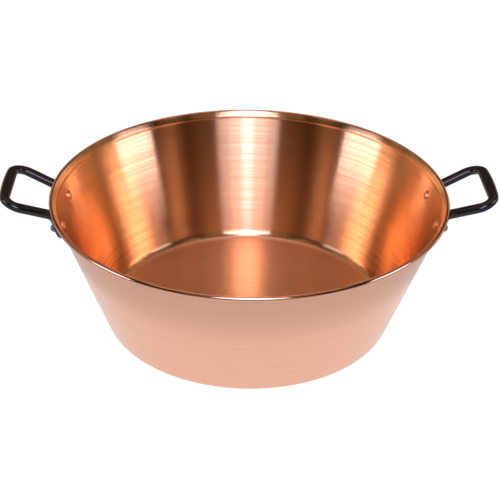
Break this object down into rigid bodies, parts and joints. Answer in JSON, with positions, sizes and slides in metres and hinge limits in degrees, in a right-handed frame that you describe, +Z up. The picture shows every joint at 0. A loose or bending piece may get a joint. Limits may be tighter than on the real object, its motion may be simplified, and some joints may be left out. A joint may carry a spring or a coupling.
{
  "type": "jam pan",
  "caption": "Wide open copper pan with a sloping wall, a rolled rim and two riveted cast iron loop handles, for boiling jam.",
  "frame": {"origin": "centre of the pan's underside, on the plane that it stands on", "axes": "+Z up, +X towards the right handle, -Y towards the viewer who has a handle on each side"},
  "size_m": [0.4686, 0.38, 0.1428],
  "materials": {
    "copper": "spun and brushed copper",
    "steel_wire": "drawn wire",
    "black_iron": "gloss black over cast iron",
    "rivet": "polished copper head inside, dark grey head outside"
  },
  "bodies": {
    "root": {"pan_body": "copper", "rim_wire": "steel_wire", "handle_right": "black_iron", "rivet_right_front": "rivet", "rivet_right_rear": "rivet", "handle_left": "black_iron", "rivet_left_front": "rivet", "rivet_left_rear": "rivet"}
  },
  "joints": []
}
